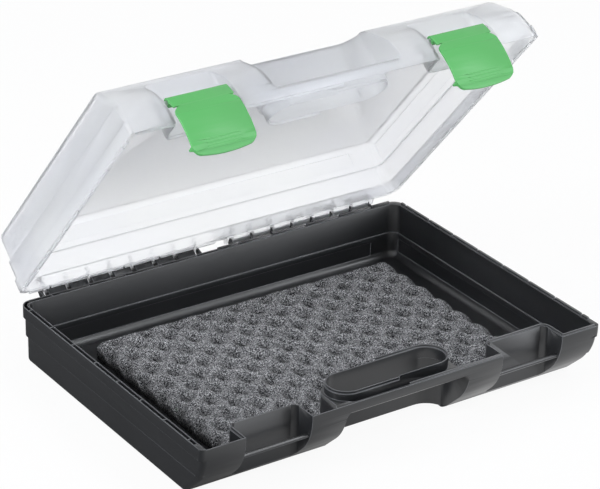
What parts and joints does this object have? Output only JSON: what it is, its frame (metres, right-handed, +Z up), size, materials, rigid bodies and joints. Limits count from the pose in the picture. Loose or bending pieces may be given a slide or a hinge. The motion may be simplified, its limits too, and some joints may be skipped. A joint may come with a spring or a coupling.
{
  "type": "assortment case",
  "caption": "Hinged plastic carrying case with a black base, milky lid, moulded grip, snap clasps and an egg-crate foam mat in the base.",
  "frame": {"origin": "middle of the base's flat underside", "axes": "+X to the right along the front, +Y towards the hinge, +Z up"},
  "size_m": [0.44, 0.3686, 0.3269],
  "materials": {
    "base_plastic": "black polypropylene, fine satin texture",
    "lid_plastic": "milky translucent polypropylene",
    "clasp_plastic": "green moulded plastic, smooth",
    "foam": "speckled charcoal convoluted foam"
  },
  "bodies": {
    "base": {"base_tray": "base_plastic", "foam_mat": "foam"},
    "lid": {"lid": "lid_plastic"},
    "left_clasp": {"left_clasp": "clasp_plastic"},
    "right_clasp": {"right_clasp": "clasp_plastic"}
  },
  "joints": [
    {"name": "lid_hinge", "type": "hinge", "parent": "base", "child": "lid", "pos_m": [0, 0.1705, 0.06], "axis": [-1, 0, 0], "range_deg": [-49.06, 130.94]},
    {"name": "left_clasp_pivot", "type": "hinge", "parent": "lid", "child": "left_clasp", "pos_m": [-0.13995, -0.02525, 0.32076], "axis": [-1, 0, 0], "range_deg": [-5, 130]},
    {"name": "right_clasp_pivot", "type": "hinge", "parent": "lid", "child": "right_clasp", "pos_m": [0.13995, -0.02525, 0.32076], "axis": [-1, 0, 0], "range_deg": [-5, 130]}
  ]
}
